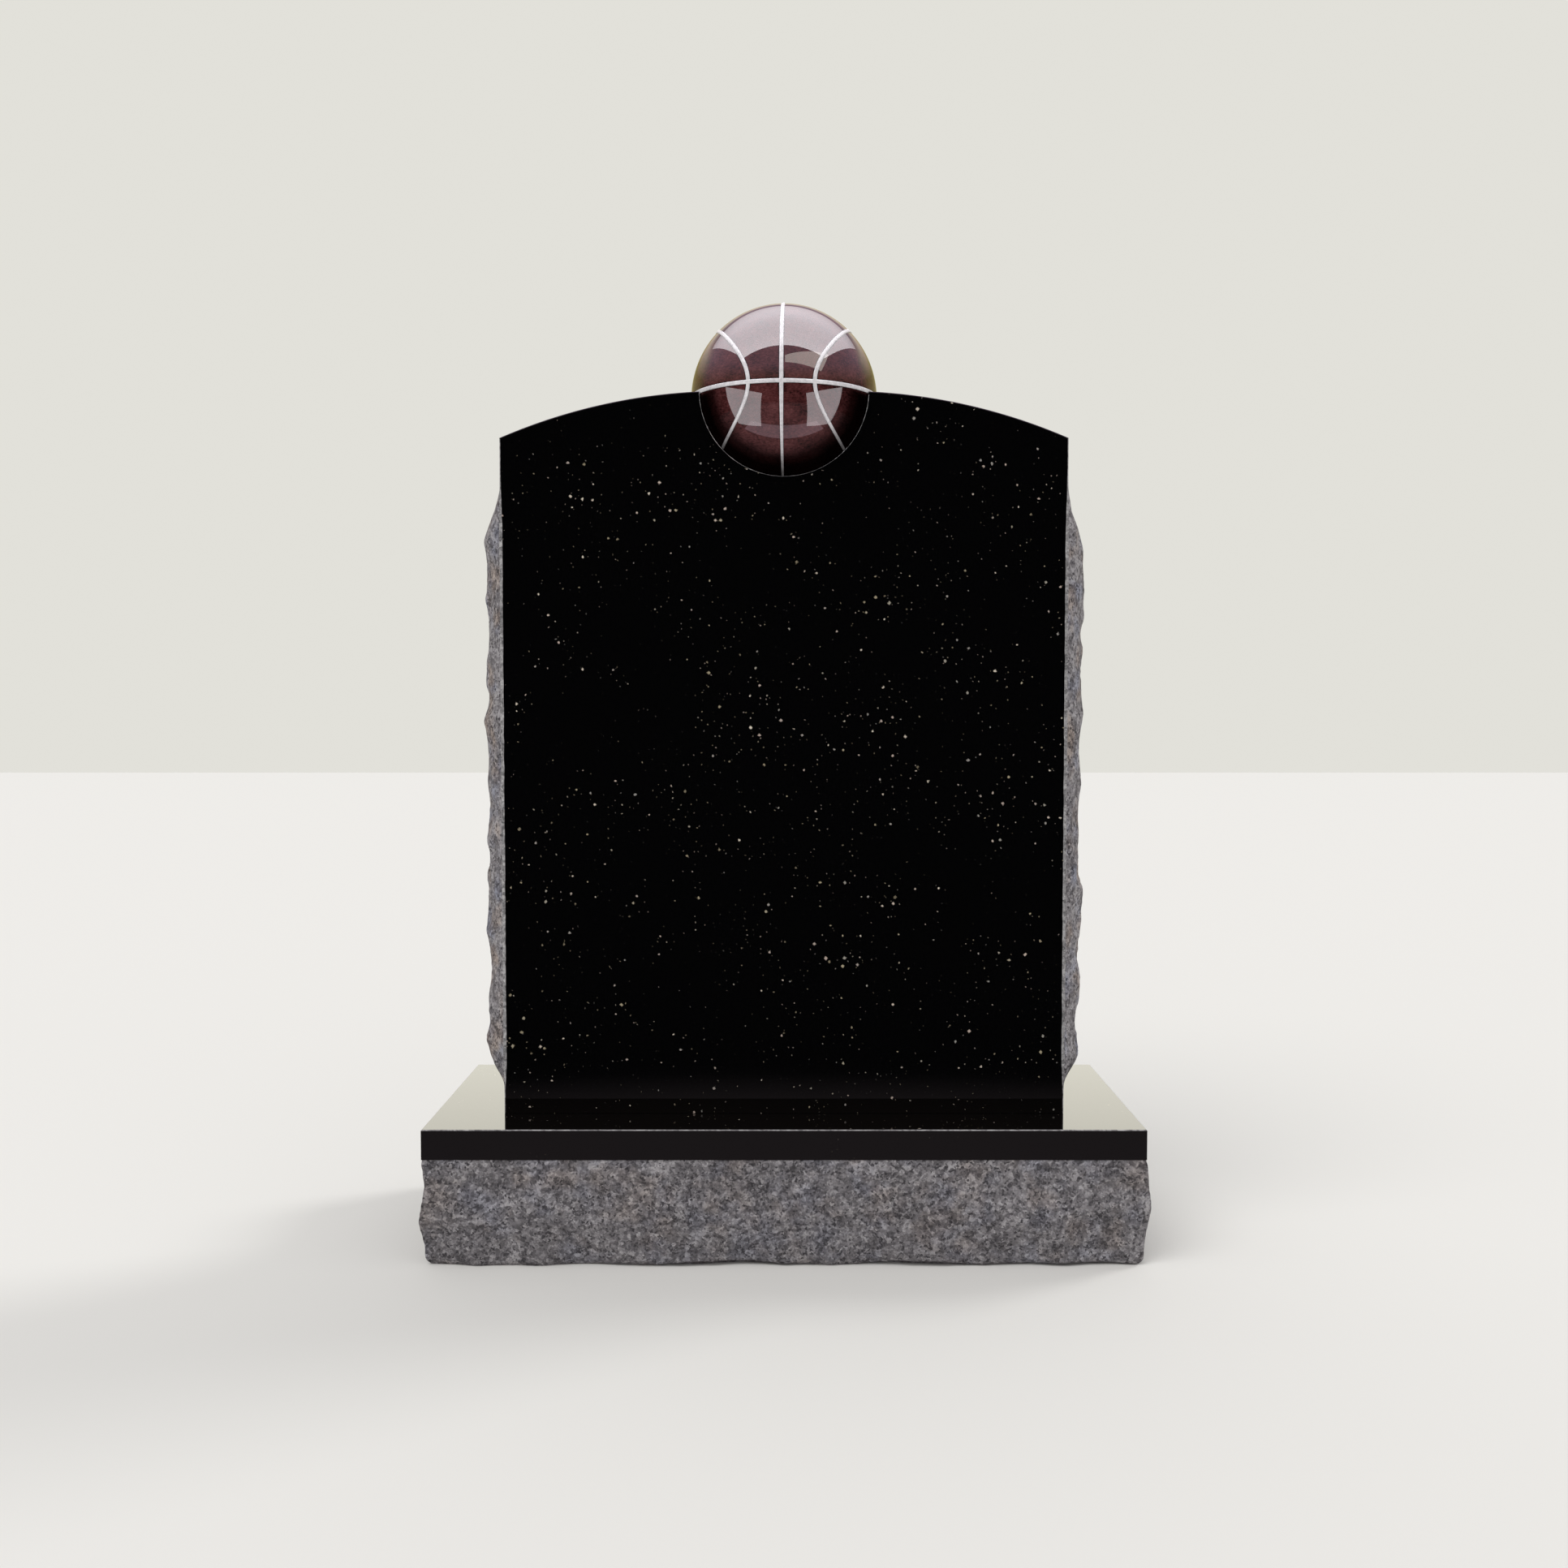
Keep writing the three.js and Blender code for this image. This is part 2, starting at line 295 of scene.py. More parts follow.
def rock_out(side, along, z):
    """How far a side of the base stands out from its polished band: a swell by a half sine,
    less the lip, the draw at the foot, the hollows, the chipped corners and the fine relief.
    Along its broken lower edge it is cut back, up to a height that noise sets."""
    along, z = np.broadcast_arrays(along, z)
    flat = SIDE_CORNERS[side] + along[..., None] * SIDE_ALONG[side]
    place = np.concatenate([flat, z[..., None]], axis=-1)
    swell = BASE_SWELL * np.sin(np.pi * z / BAND_FOOT)
    draw = FOOT_DRAW * np.maximum(0, 1 - z / FOOT_ROUND) ** 2
    to_corner = np.minimum(along, SIDE_LENGTHS[side] - along)
    uneven = CORNER_UNEVENNESS * smooth_noise(place, CORNER_WAVE, CORNER_SEED)
    reach = CORNER_REACH * (1 + uneven)
    chip = CORNER_CHIP * np.exp(-to_corner / reach)
    struck = strike(along, z, BASE_SALTS[side]) + chip
    clean = np.minimum(1, (BAND_FOOT - z) / BAND_CLEAN_EDGE)
    fine = (fine_relief(place, BASE_SEED) - FINE_MIDDLE) * clean
    wave = smooth_noise(place * [1, 1, 0], FOOT_WAVE, FOOT_SEED)
    lift = FOOT_LIFT * np.clip(0.4 + 1.2 * wave, 0, 1)
    under = FOOT_CUT * np.clip((lift - z) / FOOT_CUT_HEIGHT, 0, 1)
    fade = np.minimum(1, (BAND_FOOT - z) / LIP_FADE)
    return swell - BASE_LIP - draw - struck * fade - fine - under


def base_rings(heights, outs):
    """Level rings round the base. A side's points run evenly between its corners, which its
    neighbours push along by as much as they stand out, and are pushed out by the side."""
    sides = []
    for side in range(4):
        steps = round(SIDE_LENGTHS[side] / GRAIN_STEP)
        share = (np.arange(steps) / steps)[None, :]
        out, start, end = outs(side, share * SIDE_LENGTHS[side], heights[:, None])
        along = share * SIDE_LENGTHS[side] - start * (1 - share) + end * share
        flat = SIDE_CORNERS[side] + along[..., None] * SIDE_ALONG[side]
        flat = flat + out[..., None] * SIDE_OUTWARD[side]
        level = np.broadcast_to(heights[:, None], out.shape)
        sides.append(np.concatenate([flat, level[..., None]], axis=-1))
    return np.concatenate(sides, axis=1)


def rock_side(side, along, z):
    """A side's own distance out, and those of the neighbours at its two corners."""
    before, after = (side - 1) % 4, (side + 1) % 4
    start = rock_out(before, np.full_like(z, SIDE_LENGTHS[before], dtype=float), z)
    end = rock_out(after, np.zeros_like(z, dtype=float), z)
    return rock_out(side, along, z), start, end


def even_side(inset):
    """A straight side, set in from the base's outline by inset."""

    def side_out(side, along, z):
        out = np.full(np.broadcast(along, z).shape, -float(inset))
        edge = np.full(z.shape, -float(inset))
        return out, edge, edge

    return side_out


def build_base(finishes):
    """The base: rock pitch from the ground up, a step out to the polished band, a small flat
    on its top edge, and one flat face above and below."""
    rock_levels = np.linspace(0, BAND_FOOT, round(BAND_FOOT / GRAIN_STEP) + 1)
    rock_levels = np.insert(rock_levels, 1, GRAIN_STEP / 2)
    rings = np.concatenate([
        base_rings(rock_levels, rock_side),
        base_rings(np.array([BAND_FOOT, BASE_HEIGHT - ARRIS]), even_side(0)),
        base_rings(np.array([float(BASE_HEIGHT)]), even_side(ARRIS)),
    ])
    faces = skin(rings)
    count = rings.shape[1]
    finish = np.full(len(faces), BROKEN)
    band = len(rock_levels) * count
    finish[band:band + count] = POLISHED
    finish[band + count:band + 2 * count] = EDGE
    finish[-1] = POLISHED
    return piece_from("base_stone", rings.reshape(-1, 3), faces, finishes, finish, "base",
                      ROCK_CREASE)


# Tablet


def pitch_share(z):
    """0 on the sawn ends of a side and 1 along the rock pitch, by a smooth step between."""
    share = np.minimum((z - SAWN_FOOT) / FOOT_RAMP, (SHOULDER - SAWN_HEAD - z) / HEAD_RAMP)
    share = np.clip(share, 0, 1)
    return share * share * (3 - 2 * share)


def side_run(y, inset, side, salt):
    """One side of the tablet from the foot to the shoulder. It stands out by the bulge less
    the hollows and flakes, times 1 less the depth's share to the power of its squareness, and
    its arrises are worn back by uneven noise."""
    z = np.linspace(0, SHOULDER - SIDE_STOP, round(SHOULDER / GRAIN_STEP))[None, :]
    y, z = np.broadcast_arrays(y[:, None], z)
    inset = np.broadcast_to(inset[:, None], z.shape)
    profile = 1 - np.abs(2 * y / TABLET_THICKNESS) ** PITCH_SQUARENESS
    place = np.stack([np.full(z.shape, float(side * SIDE_APART)), y, z], axis=-1)
    broken = flakes(place, *BROAD_FLAKES, BROAD_FLAKE_SEED) - FLAKE_MIDDLE
    relief = strike(z, y, salt) + broken + fine_relief(place, TABLET_SEED)
    out = pitch_share(z) * profile * (PITCH_BULGE - relief)
    ragged = 0.5 + 0.5 * smooth_noise(place, ARRIS_WAVE, ARRIS_SEED)
    worn = np.where(inset > 0, PITCH_ARRIS * pitch_share(z) * (0.5 + 0.5 * ragged), 0)
    x = side * (TABLET_WIDTH / 2 - inset - worn + out)
    return np.stack([x, y, z], axis=-1)


def crown_run(y, inset):
    """The crown's right half from the shoulder to the socket, along the crown's arc, and the
    socket from there to its lowest point. They meet where the two circles cross."""
    arc_radius = CROWN_RADIUS - inset
    socket_radius = np.sqrt((BALL_RADIUS + SEAM_HEIGHT + SEAT_GAP) ** 2 - y**2) + inset
    across, down = CROWN_FLAT / 2, -CROWN_RADIUS
    apart = math.hypot(across, down)
    toward = (socket_radius**2 - arc_radius**2 + apart**2) / (2 * apart)
    aside = np.sqrt(socket_radius**2 - toward**2)
    cross_x = (toward * across - aside * down) / apart
    cross_z = (toward * down + aside * across) / apart
    start = np.arcsin((TABLET_WIDTH / 2 - inset - across) / arc_radius)
    end = np.arctan2(cross_x - across, cross_z - down)
    share = np.linspace(0, 1, CROWN_POINTS)[None, :]
    angle = start[:, None] * (1 - share) + end[:, None] * share
    arc = np.stack([
        across + arc_radius[:, None] * np.sin(angle),
        np.broadcast_to(y[:, None], angle.shape),
        TABLET_HEIGHT + down + arc_radius[:, None] * np.cos(angle),
    ], axis=-1)
    share = np.linspace(0, 1, SOCKET_POINTS)[None, 1:]
    turn = np.arctan2(cross_z, cross_x)[:, None] * (1 - share) - math.pi / 2 * share
    socket = np.stack([
        socket_radius[:, None] * np.cos(turn),
        np.broadcast_to(y[:, None], turn.shape),
        TABLET_HEIGHT + socket_radius[:, None] * np.sin(turn),
    ], axis=-1)
    return arc, socket


def build_tablet(finishes):
    """The tablet: upright rings from the back to the front, each up the right side, over the
    crown and through the socket, and down the left side, between two flat faces."""
    face = TABLET_THICKNESS / 2
    inner = np.linspace(face - ARRIS, ARRIS - face, round(TABLET_THICKNESS / GRAIN_STEP))
    y = np.concatenate([[face], inner, [-face]])
    inset = np.zeros(len(y))
    inset[[0, -1]] = ARRIS
    arc, socket = crown_run(y, inset)
    flip = np.array([-1, 1, 1])
    right = side_run(y, inset, 1, RIGHT_SALT)
    left = side_run(y, inset, -1, LEFT_SALT)
    rings = np.concatenate([
        right, arc, socket, (socket * flip)[:, -2::-1], (arc * flip)[:, ::-1], left[:, ::-1],
    ], axis=1)
    rings = rings + [0, TABLET_Y, TABLET_FOOT]
    faces = skin(rings)
    side_count, arc_count = right.shape[1], arc.shape[1]
    socket_count = 2 * socket.shape[1] - 1
    runs = [side_count, arc_count, socket_count, arc_count, side_count]
    around = np.repeat([BROKEN, POLISHED, POLISHED, POLISHED, BROKEN], runs)
    edge = np.repeat([EDGE, POLISHED, SOCKET_EDGE, POLISHED, EDGE], runs)
    around[-1] = edge[-1] = BROKEN
    shoulders = [side_count - 1, side_count + arc_count + socket_count + arc_count - 1]
    around[shoulders] = POLISHED
    finish = np.tile(around, len(y) - 1)
    finish[:len(edge)] = edge
    finish[-len(edge):] = edge
    finish = np.concatenate([finish, [POLISHED, POLISHED]])
    piece_from("tablet_stone", rings.reshape(-1, 3), faces, finishes, finish, "tablet",
               ROCK_CREASE)


# Ball


def seam_lines(steps):
    """The four seams as directions from the ball's centre: an upright circle, a level circle,
    and at each end of X a closed line whose Y and Z run round an ellipse."""
    turn = np.arange(steps) * 2 * math.pi / steps
    zero = np.zeros(steps)
    upright = np.stack([zero, -np.cos(turn), np.sin(turn)], axis=-1)
    level = np.stack([np.cos(turn), np.sin(turn), zero], axis=-1)
    side_y, side_z = SIDE_SEAM_REACH * np.cos(turn), SIDE_SEAM_RISE * np.sin(turn)
    side_x = np.sqrt(1 - side_y**2 - side_z**2)
    right = np.stack([side_x, side_y, side_z], axis=-1)
    return [upright, level, right, right * [-1, 1, 1]]


def seam_share(directions):
    """How wide a seam is drawn: full above the ball's middle, and narrower below it by up to
    SEAM_TAPER in proportion to the depth."""
    return 1 - SEAM_TAPER * np.clip(-directions[..., 2], 0, 1)


def bead(line, height):
    """A raised seam: a flattened half round carried along its line on the ball. It rises by its
    height times a power of the half round's sine, and its root lies inside the ball."""
    ahead = np.roll(line, -1, axis=0) - np.roll(line, 1, axis=0)
    across = np.cross(ahead, line)
    across /= np.linalg.norm(across, axis=-1, keepdims=True)
    angle = np.linspace(math.pi, 0, SEAM_ARC_STEPS)
    aside = np.concatenate([[1], np.cos(angle[::-1]), [-1]]) * SEAM_WIDTH / 2
    arc = height * np.sin(angle) ** SEAM_ROUNDNESS
    rise = np.concatenate([[-SEAM_ROOT], arc, [-SEAM_ROOT]])
    rings = line[:, None, :] * (BALL_RADIUS + rise)[None, :, None]
    return rings + (across * seam_share(line)[:, None])[:, None, :] * aside[None, :, None]


def ball_rings():
    """A sphere as rings about the X axis, from its left end to its right. X is less the cosine
    of the lean, and Y and Z are its sine times the cosine and the sine of the turn."""
    lean = np.linspace(0.001, math.pi - 0.001, BALL_RINGS)[:, None]
    turn = (np.arange(BALL_STEPS) * 2 * math.pi / BALL_STEPS)[None, :]
    x = np.broadcast_to(-np.cos(lean), (BALL_RINGS, BALL_STEPS))
    y, z = np.sin(lean) * np.cos(turn), np.sin(lean) * np.sin(turn)
    return np.stack([x, y, z], axis=-1) * BALL_RADIUS


def build_ball(finishes):
    """The ball and its four raised seams as one mesh, turned a little about the vertical. Each
    point keeps two attributes: its distance from the nearest seam line, and the fade of the
    shade painted round the socket, from 0 down in the socket, where the painted shade is
    deepest, to 1 in front of the tablet or above the crown."""
    lines = seam_lines(SEAM_STEPS)
    parts = [(ball_rings(), False, BALL_STONE)]
    for step, line in enumerate(lines):
        parts.append((bead(line, SEAM_HEIGHT - SEAM_STEP * step), True, SEAM_WHITE))
    points, faces, finish = [], [], []
    for rings, hoop, kind in parts:
        first = sum(len(block) for block in points)
        own = skin(rings, hoop)
        faces += [[first + corner for corner in face] for face in own]
        finish += [kind] * len(own)
        points.append(rings.reshape(-1, 3))
    points = np.concatenate(points)
    directions = points / np.linalg.norm(points, axis=-1, keepdims=True)
    nearest = np.max([np.max(directions @ line[::2].T, axis=-1) for line in lines], axis=0)
    from_seam = np.arccos(np.clip(nearest, -1, 1)) * BALL_RADIUS * MM / seam_share(directions)
    # Painted shade: the socket's shade on the ball is painted into its colour and gloss by this
    # share, 0 deep in the socket and 1 in the open.
    ahead = np.abs(points[:, 1]) - TABLET_THICKNESS / 2
    ahead_of_tablet = np.clip(ahead / SOCKET_SHADE_DEPTH, 0, 1)
    above_crown = np.clip((points[:, 2] - CROWN_SHADE_FOOT) / CROWN_SHADE_HEIGHT, 0, 1)
    socket_shade_fade = np.maximum(ahead_of_tablet, above_crown)
    turn = math.radians(BALL_TURN)
    spin = np.array([
        [math.cos(turn), -math.sin(turn), 0],
        [math.sin(turn), math.cos(turn), 0],
        [0, 0, 1],
    ])
    placed = points @ spin.T + BALL_CENTRE
    piece = piece_from("ball_stone", placed, faces, finishes, np.array(finish), "ball",
                       BALL_CREASE)
    distance = piece.data.attributes.new("from_seam", "FLOAT", "POINT")
    distance.data.foreach_set("value", from_seam.astype(np.float32))
    socket_shade_layer = piece.data.attributes.new("socket_shade_fade", "FLOAT", "POINT")
    socket_shade_layer.data.foreach_set("value", socket_shade_fade.astype(np.float32))
    return piece


# Finishes


def add(tree, kind, inputs=None, **settings):
    """A node with its settings, and its inputs set to values or linked to other sockets."""
    node = tree.nodes.new(kind)
    for setting, value in settings.items():
        setattr(node, setting, value)
    for socket, value in (inputs or {}).items():
        if isinstance(value, bpy.types.NodeSocket):
            tree.links.new(value, node.inputs[socket])
        else:
            node.inputs[socket].default_value = value
    return node


def maths(tree, operation, first, second=0.0, third=0.0, clamp=False):
    """A sum or other operation on up to three numbers."""
    node = add(tree, "ShaderNodeMath", {0: first, 1: second, 2: third}, operation=operation,
               use_clamp=clamp)
    return node.outputs[0]


def ramp(tree, factor, stops, interpolation="LINEAR"):
    """A colour ramp from (position, value or colour) stops."""
    node = add(tree, "ShaderNodeValToRGB", {0: factor})
    node.color_ramp.interpolation = interpolation
    elements = node.color_ramp.elements
    while len(elements) < len(stops):
        elements.new(0.5)
    for element, (position, colour) in zip(elements, stops):
        element.position = position
        colour = (colour,) * 3 if isinstance(colour, (int, float)) else colour
        element.color = (*colour, 1)
    return node.outputs[0]


def blend(tree, factor, first, second, mode="MIX"):
    """Two colours mixed by a factor."""
    node = add(tree, "ShaderNodeMix", data_type="RGBA", blend_type=mode)
    for socket, value in ((node.inputs[0], factor), (node.inputs[6], first),
                          (node.inputs[7], second)):
        if isinstance(value, bpy.types.NodeSocket):
            tree.links.new(value, socket)
        elif isinstance(value, tuple):
            socket.default_value = (*value, 1)
        else:
            socket.default_value = value
    return node.outputs[2]


def noise(tree, place, size_mm, detail=2.0, roughness=0.5):
    """Clouds about size_mm across at a place."""
    return add(tree, "ShaderNodeTexNoise", {"Vector": place, "Scale": 1 / (size_mm * MM),
                                            "Detail": detail, "Roughness": roughness})


def new_group(name, inputs, outputs):
    """An empty shader node group with named inputs and outputs."""
    group = bpy.data.node_groups.new(name, "ShaderNodeTree")
    for socket, value in inputs.items():
        made = group.interface.new_socket(name=socket, in_out="INPUT",
                                          socket_type="NodeSocketFloat")
        made.default_value = value
    for socket, kind in outputs.items():
        group.interface.new_socket(name=socket, in_out="OUTPUT", socket_type=kind)
    return group, group.nodes.new("NodeGroupInput"), group.nodes.new("NodeGroupOutput")


def wavering_place(tree, size_mm, reach_mm):
    """Object coordinates pushed about by noise, so that what reads them has ragged edges."""
    place = add(tree, "ShaderNodeTexCoord").outputs["Object"]
    push = noise(tree, place, size_mm).outputs["Color"]
    centred = add(tree, "ShaderNodeVectorMath", {0: push, 1: (0.5, 0.5, 0.5)},
                  operation="SUBTRACT").outputs[0]
    reach = add(tree, "ShaderNodeVectorMath", {0: centred, 3: 2 * reach_mm * MM},
                operation="SCALE").outputs[0]
    return add(tree, "ShaderNodeVectorMath", {0: place, 1: reach}, operation="ADD").outputs[0]


def crystal_grain_group():
    """Interlocked crystals: Voronoi cells of two sizes, each with a shade of its own, in ragged
    outlines. Inputs are the larger crystals' size in millimetres and how far the shades differ.
    Outputs are the shade, a mask of the scattered dark crystals, and the broken surface's
    height."""
    group, inside, outside = new_group(
        "crystal_grain", {"Size": 6.0, "Contrast": 1.0},
        {"Shade": "NodeSocketFloat", "Dark": "NodeSocketFloat", "Height": "NodeSocketFloat"})
    place = wavering_place(group, 3.0, 1.8)
    scale = maths(group, "DIVIDE", 1000.0, inside.outputs["Size"])
    large = add(group, "ShaderNodeTexVoronoi", {"Vector": place, "Scale": scale})
    small_scale = maths(group, "MULTIPLY", scale, 2.2)
    small = add(group, "ShaderNodeTexVoronoi", {"Vector": place, "Scale": small_scale})
    large_own = add(group, "ShaderNodeSeparateColor", {0: large.outputs["Color"]}).outputs[0]
    small_own = add(group, "ShaderNodeSeparateColor", {0: small.outputs["Color"]})
    mixed = maths(group, "ADD", maths(group, "MULTIPLY", large_own, 0.55),
                  maths(group, "MULTIPLY", small_own.outputs[1], 0.45))
    spread = maths(group, "MULTIPLY", maths(group, "SUBTRACT", mixed, 0.5),
                   inside.outputs["Contrast"])
    shade = maths(group, "ADD", spread, 0.5, clamp=True)
    group.links.new(shade, outside.inputs["Shade"])
    clusters = noise(group, place, 14, 2).outputs[0]
    limit = maths(group, "MULTIPLY_ADD", clusters, 0.7, -0.2)
    dark = maths(group, "MULTIPLY", maths(group, "SUBTRACT", limit, small_own.outputs[0]), 12.0,
                 clamp=True)
    group.links.new(dark, outside.inputs["Dark"])
    hollow = maths(group, "MULTIPLY", small.outputs["Distance"], 0.5)
    height = maths(group, "ADD", maths(group, "MULTIPLY", mixed, 0.7), hollow)
    group.links.new(height, outside.inputs["Height"])
    return group


def fleck_group():
    """Sparse bright crystals in dark stone. Many cells of a Voronoi pattern hold one fleck at
    their centre, larger where broad noise is high. Inputs are the cells' size and the flecks'
    radius in millimetres. Outputs are the mask and each fleck's own tint from 0 to 1."""
    group, inside, outside = new_group(
        "bright_flecks", {"Cell": 11.0, "Radius": 1.3},
        {"Mask": "NodeSocketFloat", "Tint": "NodeSocketFloat"})
    place = wavering_place(group, 1.5, 1.3)
    scale = maths(group, "DIVIDE", 1000.0, inside.outputs["Cell"])
    cells = add(group, "ShaderNodeTexVoronoi", {"Vector": place, "Scale": scale},
                distance="MANHATTAN")
    tint = add(group, "ShaderNodeSeparateColor", {0: cells.outputs["Color"]})
    broad = noise(group, add(group, "ShaderNodeTexCoord").outputs["Object"], 60, 2).outputs[0]
    room = ramp(group, broad, [(0.36, 0.3), (0.62, 1.0)])
    radius = maths(group, "DIVIDE", inside.outputs["Radius"], inside.outputs["Cell"])
    radius = maths(group, "MULTIPLY", radius, room)
    own = maths(group, "MULTIPLY_ADD", tint.outputs[1], 4.0, -2.2, clamp=True)
    radius = maths(group, "MULTIPLY", radius, own)
    inward = maths(group, "SUBTRACT", radius, cells.outputs["Distance"])
    mask = maths(group, "MULTIPLY", inward, 60.0, clamp=True)
    group.links.new(mask, outside.inputs["Mask"])
    group.links.new(tint.outputs[0], outside.inputs["Tint"])
    return group


CRYSTALS = crystal_grain_group()
FLECKS = fleck_group()


def new_finish(name, **constants):
    """A material with a Principled shader, its constants set on the shader's own sockets."""
    finish = bpy.data.materials.new(name)
    finish.use_nodes = True
    tree = finish.node_tree
    shader = tree.nodes["Principled BSDF"]
    for socket, value in constants.items():
        shader.inputs[socket.replace("_", " ")].default_value = value
    return finish, tree, shader


def use_group(tree, group, values):
    """A shader node group placed in a finish with its own values."""
    node = tree.nodes.new("ShaderNodeGroup")
    node.node_tree = group
    for socket, value in values.items():
        node.inputs[socket].default_value = value
    return node.outputs


def bumped(tree, shader, height, strength, distance_mm):
    """Fine relief that only shades the surface."""
    node = add(tree, "ShaderNodeBump", {"Height": height, "Strength": strength,
                                        "Distance": distance_mm * MM})
    tree.links.new(node.outputs[0], shader.inputs["Normal"])


def broken_granite(name, paleness, mottle, tinge, chip_strength):
    """Grey broken granite: pale and mid grey crystals with scattered near-black ones, in clouds
    that mottle it, and tinges of blue and brown. Small chips of chip_strength shade it."""
    finish, tree, shader = new_finish(name, Roughness=0.8)
    crystals = use_group(tree, CRYSTALS, {"Size": 4.6, "Contrast": 0.95})
    place = add(tree, "ShaderNodeTexCoord").outputs["Object"]
    cloud = noise(tree, place, 20, 3, 0.55).outputs[0]
    mottled = maths(tree, "MULTIPLY_ADD", cloud, mottle, paleness - 0.5 * mottle)
    shade = maths(tree, "ADD", crystals["Shade"], mottled)
    colour = ramp(tree, shade, [
        (0.1, (0.066, 0.062, 0.066)), (0.35, (0.132, 0.124, 0.131)),
        (0.6, (0.208, 0.196, 0.205)), (0.95, (0.38, 0.363, 0.372))])
    colour = blend(tree, maths(tree, "MULTIPLY", crystals["Dark"], 0.85), colour,
                   (0.035, 0.033, 0.037))
    hue = noise(tree, place, 34, 2).outputs["Color"]
    hue = add(tree, "ShaderNodeSeparateColor", {0: hue})
    warm = ramp(tree, hue.outputs[0], [(0.5, 0.0), (0.68, 1.0)])
    cool = ramp(tree, hue.outputs[1], [(0.5, 0.0), (0.68, 1.0)])
    colour = blend(tree, maths(tree, "MULTIPLY", warm, tinge), colour, (1.14, 0.97, 0.8),
                   "MULTIPLY")
    colour = blend(tree, maths(tree, "MULTIPLY", cool, tinge), colour, (0.84, 0.93, 1.13),
                   "MULTIPLY")
    tree.links.new(colour, shader.inputs["Base Color"])
    grit = noise(tree, place, 1.1, 2, 0.6).outputs[0]
    height = maths(tree, "ADD", crystals["Height"], maths(tree, "MULTIPLY", grit, 0.5))
    broad = noise(tree, place, 11, 3, 0.6).outputs[0]
    height = maths(tree, "ADD", height, maths(tree, "MULTIPLY", broad, chip_strength))
    bumped(tree, shader, height, 0.75, 0.9)
    return finish


def worn_edge_and_painted_light(name, paleness):
    """The bruised line where polish ends: paler and finer than the broken stone. Its paleness
    sets how much lighter it is; a high one, as on the socket's bevel, is painted light.
    """
    finish, tree, shader = new_finish(name, Roughness=0.6)
    crystals = use_group(tree, CRYSTALS, {"Size": 4.0, "Contrast": 0.9})
    colour = ramp(tree, crystals["Shade"], [
        (0.15, tuple(paleness * part for part in (0.2, 0.196, 0.2))),
        (0.5, tuple(paleness * part for part in (0.52, 0.505, 0.51))),
        (0.9, tuple(paleness * part for part in (0.95, 0.93, 0.93)))])
    tree.links.new(colour, shader.inputs["Base Color"])
    return finish


def polished_granite():
    """Mirror-polished black granite with flecks of two sizes, gold, grey and pinkish."""
    finish, tree, shader = new_finish("polished_granite", Roughness=0.04, IOR=1.55)
    colour = (0.0009, 0.0009, 0.001)
    for cell, radius, strength in ((6.0, 1.15, 0.55), (12.0, 2.3, 0.85)):
        flecks = use_group(tree, FLECKS, {"Cell": cell, "Radius": radius})
        tint = ramp(tree, flecks["Tint"], [
            (0.0, (0.12, 0.1, 0.07)), (0.3, (0.42, 0.36, 0.24)), (0.55, (0.3, 0.29, 0.27)),
            (0.8, (0.5, 0.4, 0.34)), (1.0, (0.75, 0.68, 0.55))])
        colour = blend(tree, maths(tree, "MULTIPLY", flecks["Mask"], strength), colour, tint)
    tree.links.new(colour, shader.inputs["Base Color"])
    place = add(tree, "ShaderNodeTexCoord").outputs["Object"]
    haze = noise(tree, place, 5, 2).outputs[0]
    tree.links.new(ramp(tree, haze, [(0.3, 0.02), (0.8, 0.05)]), shader.inputs["Roughness"])
    return finish


def russet_stone():
    """The ball: dark red-brown stone with a fine level grain under a clear gloss, a painted
    shadow along both edges of each seam, and painted shade that dulls and darkens it towards the
    socket."""
    finish, tree, shader = new_finish("russet_stone", Roughness=0.5, Specular_IOR_Level=0.0,
                                      Coat_Weight=1.0, Coat_Roughness=0.02, Coat_IOR=1.55)
    crystals = use_group(tree, CRYSTALS, {"Size": 4.0, "Contrast": 0.6})
    place = add(tree, "ShaderNodeTexCoord").outputs["Object"]
    level = add(tree, "ShaderNodeMapping", {"Vector": place, "Scale": (1, 1, 2.4)}).outputs[0]
    pebbles = noise(tree, level, 3.2, 3, 0.6).outputs[0]
    cloud = noise(tree, place, 26, 2).outputs[0]
    shade = maths(tree, "ADD", maths(tree, "MULTIPLY", crystals["Shade"], 0.4),
                  maths(tree, "MULTIPLY", pebbles, 0.9))
    shade = maths(tree, "ADD", shade, maths(tree, "MULTIPLY_ADD", cloud, 0.7, -0.5))
    colour = ramp(tree, shade, [
        (0.22, (0.016, 0.004, 0.004)), (0.5, (0.074, 0.02, 0.0205)),
        (0.75, (0.125, 0.04, 0.041)), (1.0, (0.2, 0.075, 0.074))])
    from_seam = add(tree, "ShaderNodeAttribute", attribute_name="from_seam").outputs["Fac"]
    # Painted shadow: a near-black line along both edges of each raised seam, where the seam
    # shades the ball.
    seam_shadow_mask = maths(tree, "LESS_THAN", from_seam, (SEAM_WIDTH / 2 + SEAM_SHADOW) * MM)
    colour = blend(tree, seam_shadow_mask, colour, (0.006, 0.003, 0.003))
    # Painted shade: the colour and the coat's gloss grow darker and duller towards the socket,
    # where the tablet shades the ball.
    socket_shade_fade = add(tree, "ShaderNodeAttribute", attribute_name="socket_shade_fade").outputs["Fac"]
    painted_socket_shade = ramp(tree, socket_shade_fade, [(0.3, 0.02), (0.6, 0.14), (0.78, 0.6), (0.95, 1.0)])
    colour = blend(tree, 1.0, colour, painted_socket_shade, "MULTIPLY")
    tree.links.new(colour, shader.inputs["Base Color"])
    tree.links.new(painted_socket_shade, shader.inputs["Coat Weight"])
    bumped(tree, shader, pebbles, 1.0, 1.4)
    return finish


